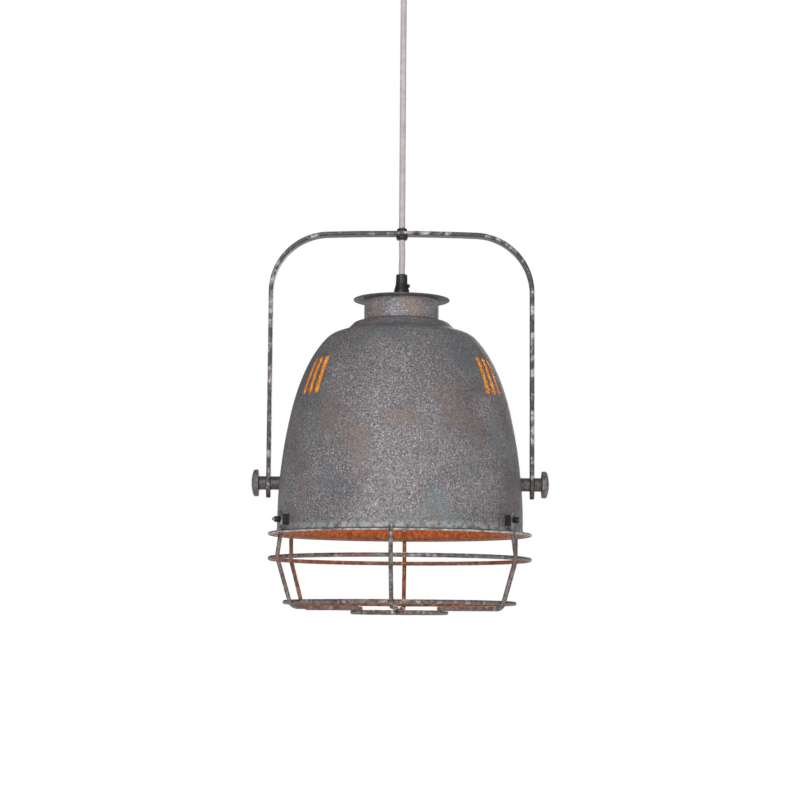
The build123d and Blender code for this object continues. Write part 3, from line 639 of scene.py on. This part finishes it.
lower_places = route_points("lower_route", LOWER_ROUTE)
lower_mesh = cord_mesh("lead_in_cord", lower_places)
lower_mesh.materials.append(MATERIALS["cord_jacket"])
lower_cord = bpy.data.objects.new("lead_in_cord", lower_mesh)
bpy.context.collection.objects.link(lower_cord)
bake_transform(lower_cord)
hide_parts("cord_lower")

# ---------------------------------------------------------------- shade
SHEET = 1.0
SHOULDER = ((40.3, 314.6), (50.6, 311.6), (57.8, 304.3), (70.0, 300.1))
SHOULDER_BENDS = (7.0, 6.0)
# Each arc of the dome: its radius, and how steeply it falls at its lower end.
DOME_ARCS = ((28.0, 46.0), (73.0, 53.0), (133.0, 66.4), (241.0, 76.5), (530.0, 90.0))
HEM_R = 1.45
COVE_R = 5.0
SHADE_STEP = 2.2
SHADE_SIDES = 360
SLOT_WIDTH = 6.8
SLOT_LENGTH = 43.0
SLOT_HEIGHT = 248.7
SLOT_R = 106.9
SLOT_SLOPE = 20.5
SLOT_STEP = 6.35
SLOT_GROUPS = (-57.3, 60.1, 180.0)
SLOT_CUT = 0.012


def shade_outline():
    """Outer outline from the neck to the hem, as (radius, height) in millimetres."""
    path = bent_path([Vector((r, h, 0.0)) for r, h in SHOULDER], SHOULDER_BENDS, SHADE_STEP)
    last_run = path[-1] - path[-2]
    fall = -last_run.angle(Vector((1.0, 0.0, 0.0)))
    for radius, next_fall in DOME_ARCS:
        start = path[-1].copy()
        first = -fall
        last = radians(next_fall)
        count = ceil((last - first) * radius / SHADE_STEP)
        for index in range(1, count + 1):
            angle = first + (last - first) * index / count
            path.append(start + radius * Vector((sin(angle) - sin(first), cos(angle) - cos(first), 0.0)))
        fall = -last
    foot = path.pop()
    rim_height = (RIM_FOOT - CAGE_BOTTOM) / MM + HEM_R
    flange = Vector((RIM_R / MM - HEM_R, rim_height + 0.4, 0.0))
    return path + bent_path([foot, Vector((foot.x, flange.y, 0.0)), flange], [COVE_R], 1.2)


def shade_loop():
    """Closed outline of the sheet: down the outside, round the hem and back up the inside."""
    outside = shade_outline()
    inside = []
    for before, here, after in zip([outside[0]] + outside, outside, outside[1:] + [outside[-1]]):
        along = (after - before).normalized()
        inside.append(here + Vector((along.y, -along.x, 0.0)) * SHEET)
    centre = Vector((outside[-1].x, (RIM_FOOT - CAGE_BOTTOM) / MM + HEM_R, 0.0))
    hem = []
    for index in range(15):
        angle = radians(110.0 - 320.0 * index / 14)
        hem.append(centre + HEM_R * Vector((cos(angle), sin(angle), 0.0)))
    return outside[:-1] + hem + list(reversed(inside[:-2]))


def shade_mesh():
    loop = shade_loop()
    vertices = []
    for index in range(SHADE_SIDES):
        outward = outward_at(360.0 * index / SHADE_SIDES)
        for place in loop:
            point = outward * (place.x * MM) + Vector((0.0, 0.0, up(place.y)))
            dent = unevenness(point, 26.0, 0.22 * MM) + unevenness(point, 75.0, 0.10 * MM, 3.0)
            vertices.append(point + outward * min(dent, 0.0))
    size = len(loop)
    faces = []
    for index in range(SHADE_SIDES):
        low = index * size
        high = (index + 1) % SHADE_SIDES * size
        for side in range(size):
            next_side = (side + 1) % size
            faces.append((low + side, low + next_side, high + next_side, high + side))
    return mesh_from("shade", vertices, faces)


def slot_cutters():
    """Rounded prisms through the wall, in groups of three."""
    outline = []
    half_run = (SLOT_LENGTH - SLOT_WIDTH) / 2
    for index in range(24):
        angle = tau * index / 24
        end = half_run if sin(angle) > 0 else -half_run
        outline.append((SLOT_WIDTH / 2 * cos(angle) * MM, (SLOT_WIDTH / 2 * sin(angle) + end) * MM))
    parts = []
    for group in SLOT_GROUPS:
        for step in (-1, 0, 1):
            angle = group + step * SLOT_STEP
            outward = outward_at(angle)
            facing = outward * cos(radians(SLOT_SLOPE)) + Vector((0.0, 0.0, sin(radians(SLOT_SLOPE))))
            centre = outward * (SLOT_R * MM) + Vector((0.0, 0.0, up(SLOT_HEIGHT)))
            sideways = Vector((cos(radians(angle)), sin(radians(angle)), 0.0))
            reach = facing * SLOT_CUT
            parts.append(prism(centre - reach, centre + reach, outline, sideways))
    return joined("slot_cutters", parts)


shade = piece("spun_shade", shade_mesh(), "shade", "shade_steel", ["shade_shell"])
carve(shade, slot_cutters())

# ---------------------------------------------------------------- bail
BAIL_SHEET = 4.6 * MM
BAIL_CORNER_R = 65.0 * MM
BAIL_CROWN = 1.3 * MM
BAIL_SQUARENESS = 7.0
STUD_R = 4.05 * MM
GROMMET_HOLE_R = 4.8 * MM
CUTTER_SIDES = 32
CUTTER_REACH = 0.01
LEG_X = 0.14


def bail_mesh():
    """Bent strap with soft edges and round leg ends."""
    side = BAIL_HIGH[0] - BAIL_SHEET / 2
    top = BAIL_HIGH[2] - BAIL_CROWN - BAIL_SHEET / 2
    path = bent_path(
        [(-side, 0.0, BAIL_LOW[2]), (-side, 0.0, top), (side, 0.0, top), (side, 0.0, BAIL_LOW[2])],
        [BAIL_CORNER_R - BAIL_SHEET / 2] * 2,
    )
    flat_reach = BAIL_HIGH[0] - BAIL_CORNER_R
    for place in path:
        if place.z > top - BAIL_SHEET and abs(place.x) < flat_reach:
            place.z += BAIL_CROWN * (1 - (place.x / flat_reach) ** 2)
    half_width = BAIL_HIGH[1]
    fine = (0.03, 0.08, 0.15, 0.25, 0.38, 0.52, 0.68, 0.84)
    first = [path[0].lerp(path[4], share) for share in fine]
    last = [path[-1].lerp(path[-5], share) for share in reversed(fine)]
    path = [path[0]] + first + path[4:-4] + last + [path[-1]]
    lengths = distances(path)
    total = lengths[-1]

    def outline(index):
        from_end = min(lengths[index], total - lengths[index])
        keep = max(rounded_end(from_end, half_width), 0.12)
        rough = unevenness(path[index], 60.0, 0.25 * MM)
        thin = unevenness(path[index], 90.0, 0.2 * MM, 5.0)
        width = (half_width + min(rough, 0.0)) * keep
        return oval(width, BAIL_SHEET / 2 + min(thin, 0.0), BAIL_SQUARENESS, 36)

    return sweep("bail_strap", path, Vector((0.0, 1.0, 0.0)), outline)


def round_cutter(centre, radius, along, sideways):
    """Round rod that cuts both ways from its centre."""
    centre = Vector(centre)
    reach = CUTTER_REACH * Vector(along)
    return prism(centre - reach, centre + reach, circle(radius, CUTTER_SIDES), Vector(sideways))


strap = piece("bail_strap", bail_mesh(), "hanger", "bail_steel", ["bail"])
carve(strap, joined("bail_holes", [
    round_cutter((-LEG_X, 0.0, PIVOT_Z), STUD_R, (1.0, 0.0, 0.0), (0.0, 1.0, 0.0)),
    round_cutter((LEG_X, 0.0, PIVOT_Z), STUD_R, (1.0, 0.0, 0.0), (0.0, 1.0, 0.0)),
    round_cutter((0.0, 0.0, STRAP_TOP_Z), GROMMET_HOLE_R, (0.0, 0.0, 1.0), (1.0, 0.0, 0.0)),
]))

# ---------------------------------------------------------------- cage
ROD_R = 2.25 * MM
ROD_SIDES = 18
RINGS = {
    "cage_mid_ring": (137.75, 58.5),
    "cage_bottom_ring": (121.65, 12.4),
    "cage_inner_ring": (49.75, 2.25),
}
RIB_ANGLES = (-123.0, -63.0, -3.7, 57.0, 117.0, 177.8)
RIB_MID_R = 142.1
RIB_CORNER = (125.6, 7.0)
RIB_END = (47.5, 6.6)
PLAIN_TOP = (142.6, 90.0)
TAB_R = 138.5
TAB_TOP = 106.0
TAB_FOOT = 87.0
TAB_HALF_WIDTH = 3.3 * MM
TAB_HALF_SHEET = 1.2 * MM
TAB_NECK = 9.0 * MM


def ring_mesh(name, radius, height, seed):
    """Rod bent to a ring, a little uneven."""
    count = 240
    path = []
    for index in range(count):
        point = outward_at(360.0 * index / count) * (radius * MM) + Vector((0.0, 0.0, up(height)))
        point += outward_at(360.0 * index / count) * unevenness(point, 14.0, 0.35 * MM, seed)
        path.append(point)

    def outline(index):
        lump = unevenness(path[index], 120.0, 0.14 * MM, seed)
        return oval(ROD_R + min(lump, 0.0), ROD_R + min(lump, 0.0), 2.0, ROD_SIDES)

    return sweep(name, path, Vector((0.0, 0.0, 1.0)), outline, closed=True)


def rib_path(angle, has_tab):
    """Centreline of a rib, from its top to its end on the inner ring."""
    top = [(TAB_R, TAB_TOP), (TAB_R, 81.5)] if has_tab else [PLAIN_TOP]
    bends = [14.0 * MM, 14.0 * MM, 10.0 * MM] if has_tab else [14.0 * MM, 10.0 * MM]
    corners = top + [(RIB_MID_R, 58.5), RIB_CORNER, RIB_END]
    places = [outward_at(angle) * (r * MM) + Vector((0.0, 0.0, up(height))) for r, height in corners]
    return bent_path(places, bends, 1.6 * MM)


def rib_mesh(name, path, angle, has_tab, seed):
    """Rod with a round tip, or with its top hammered flat into a tab."""
    tip = [path[0].lerp(path[1], share) for share in (0.03, 0.12, 0.3, 0.6)]
    end = [path[-2].lerp(path[-1], share) for share in (0.4, 0.7, 0.88, 0.97)]
    path = [path[0]] + tip + path[1:-1] + end + [path[-1]]
    lengths = distances(path)
    total = lengths[-1]
    tab_length = (TAB_TOP - TAB_FOOT) * MM

    def outline(index):
        along = lengths[index]
        lump = min(unevenness(path[index], 130.0, 0.14 * MM, seed), 0.0)
        width = thickness = ROD_R + lump
        squareness = 2.0
        if has_tab:
            share = min(max((tab_length + TAB_NECK / 2 - along) / TAB_NECK, 0.0), 1.0)
            share = share * share * (3 - 2 * share)
            width += (TAB_HALF_WIDTH - ROD_R) * share
            thickness += (TAB_HALF_SHEET - ROD_R) * share
            squareness += 2.6 * share
        tip_r = width if has_tab else 1.5 * MM
        width *= max(rounded_end(along, tip_r), 0.12)
        if not has_tab:
            thickness *= max(rounded_end(along, tip_r), 0.12)
        foot = max(rounded_end(total - along, 1.5 * MM), 0.12)
        return oval(width * foot, thickness * foot, squareness, ROD_SIDES)

    sideways = Vector((cos(radians(angle)), sin(radians(angle)), 0.0))
    return sweep(name, path, sideways, outline), path


def weld_blob(centre, outward, size, seed):
    """Lumpy bead of weld metal between two rods."""
    blob = bmesh.new()
    bmesh.ops.create_icosphere(blob, subdivisions=3, radius=1.0)
    sideways = outward.cross(Vector((0.0, 0.0, 1.0)))
    vertices = []
    for vertex in blob.verts:
        lump = 1.0 + 0.22 * noise.noise(vertex.co * 1.7 + Vector((seed, 0.0, 0.0)))
        local = vertex.co * lump
        vertices.append(centre + outward * (local.x * size[0]) + sideways * (local.y * size[1])
                        + Vector((0.0, 0.0, local.z * size[2])))
    faces = [tuple(vertex.index for vertex in face.verts) for face in blob.faces]
    blob.free()
    return vertices, faces


for seed, (name, (radius, height)) in enumerate(RINGS.items(), start=1):
    ring = ring_mesh(name, radius, height, 7.0 * seed)
    piece(name.replace("cage_", "rod_"), ring, "shade", "cage_steel", [name])

welds = []
for number, angle in enumerate(RIB_ANGLES, start=1):
    has_tab = number % 2 == 0
    mesh, path = rib_mesh(f"rod_rib_{number}", rib_path(angle, has_tab), angle, has_tab, 11.0 * number)
    piece(f"rod_rib_{number}", mesh, "shade", "cage_steel", [f"cage_rib_{number}"])
    outward = outward_at(angle)
    for radius, height in RINGS.values():
        on_ring = outward * (radius * MM) + Vector((0.0, 0.0, up(height)))
        nearest = min(path, key=lambda place: (place - on_ring).length)
        middle = (nearest + on_ring) / 2
        welds.append(weld_blob(middle, outward, (2.0 * MM, 3.0 * MM, 2.0 * MM), len(welds)))
piece("cage_welds", joined("cage_welds", welds), "shade", "cage_steel")


# ---------------------------------------------------------------- light and floor
def softbox(name, place, aim, size, watts):
    """One large round area light."""
    data = bpy.data.lights.new(name, "AREA")
    data.shape = "DISK"
    data.size = size
    data.energy = watts
    lamp = bpy.data.objects.new(name, data)
    bpy.context.collection.objects.link(lamp)
    lamp.location = place
    lamp.rotation_euler = (Vector(aim) - Vector(place)).to_track_quat("-Z", "Y").to_euler()


LAMP_MIDDLE = (0.0, 0.0, up(200.0))
softbox("key_light", (-0.7, -3.0, 0.4), LAMP_MIDDLE, 1.5, 47.0)
softbox("fill_light", (1.4, -2.2, -0.5), LAMP_MIDDLE, 1.5, 12.0)
softbox("top_light", (0.0, 0.6, 1.6), LAMP_MIDDLE, 2.0, 5.0)
softbox("back_light", (0.5, 3.0, 0.2), LAMP_MIDDLE, 1.5, 22.0)

SEEN_WHITE = 1.0
AMBIENT = 0.14
world = bpy.data.worlds.new("studio")
world.use_nodes = True
w = Nodes(world.node_tree)
seen = w.new("ShaderNodeBackground")
seen.inputs["Color"].default_value = (1.0, 1.0, 1.0, 1.0)
seen.inputs["Strength"].default_value = SEEN_WHITE
ambient = w.new("ShaderNodeBackground")
ambient.inputs["Color"].default_value = (1.0, 1.0, 1.0, 1.0)
ambient.inputs["Strength"].default_value = AMBIENT
choose = w.new("ShaderNodeMixShader")
w.link(w.new("ShaderNodeLightPath").outputs["Is Camera Ray"], choose.inputs[0])
w.link(ambient.outputs[0], choose.inputs[1])
w.link(seen.outputs[0], choose.inputs[2])
w.link(choose.outputs[0], w.new("ShaderNodeOutputWorld").inputs[0])
bpy.context.scene.world = world

FLOOR_BELOW_CAGE = 0.7
FLOOR_R = 40.0
FLOOR_SIDES = 64
floor_mesh = bpy.data.meshes.new("floor")
floor_mesh.from_pydata(
    [(x, y, CAGE_BOTTOM - FLOOR_BELOW_CAGE) for x, y in circle(FLOOR_R, FLOOR_SIDES)],
    [], [tuple(range(FLOOR_SIDES))],
)
floor = bpy.data.objects.new("floor", floor_mesh)
bpy.context.collection.objects.link(floor)


def pale_floor(n):
    """White sweep that is lit more, the further it is from under the lamp."""
    where = n.coords()
    colour = n.ramp(n.noise(where, 3.0, 2.0, 0.5), [(0.30, (0.90, 0.90, 0.90)), (0.70, (0.94, 0.94, 0.94))])
    shader = n.surface(colour, 0.8)
    distance = n.new("ShaderNodeVectorMath", operation="LENGTH")
    n.link(n.stretched(where, 1.0, 1.0, 0.0), distance.inputs[0])
    shader.inputs["Emission Color"].default_value = (1.0, 1.0, 1.0, 1.0)
    n.link(n.spread(distance.outputs["Value"], 1.0, 5.0, 0.25, 1.0), shader.inputs["Emission Strength"])


floor_mesh.materials.append(material("pale_floor", pale_floor))
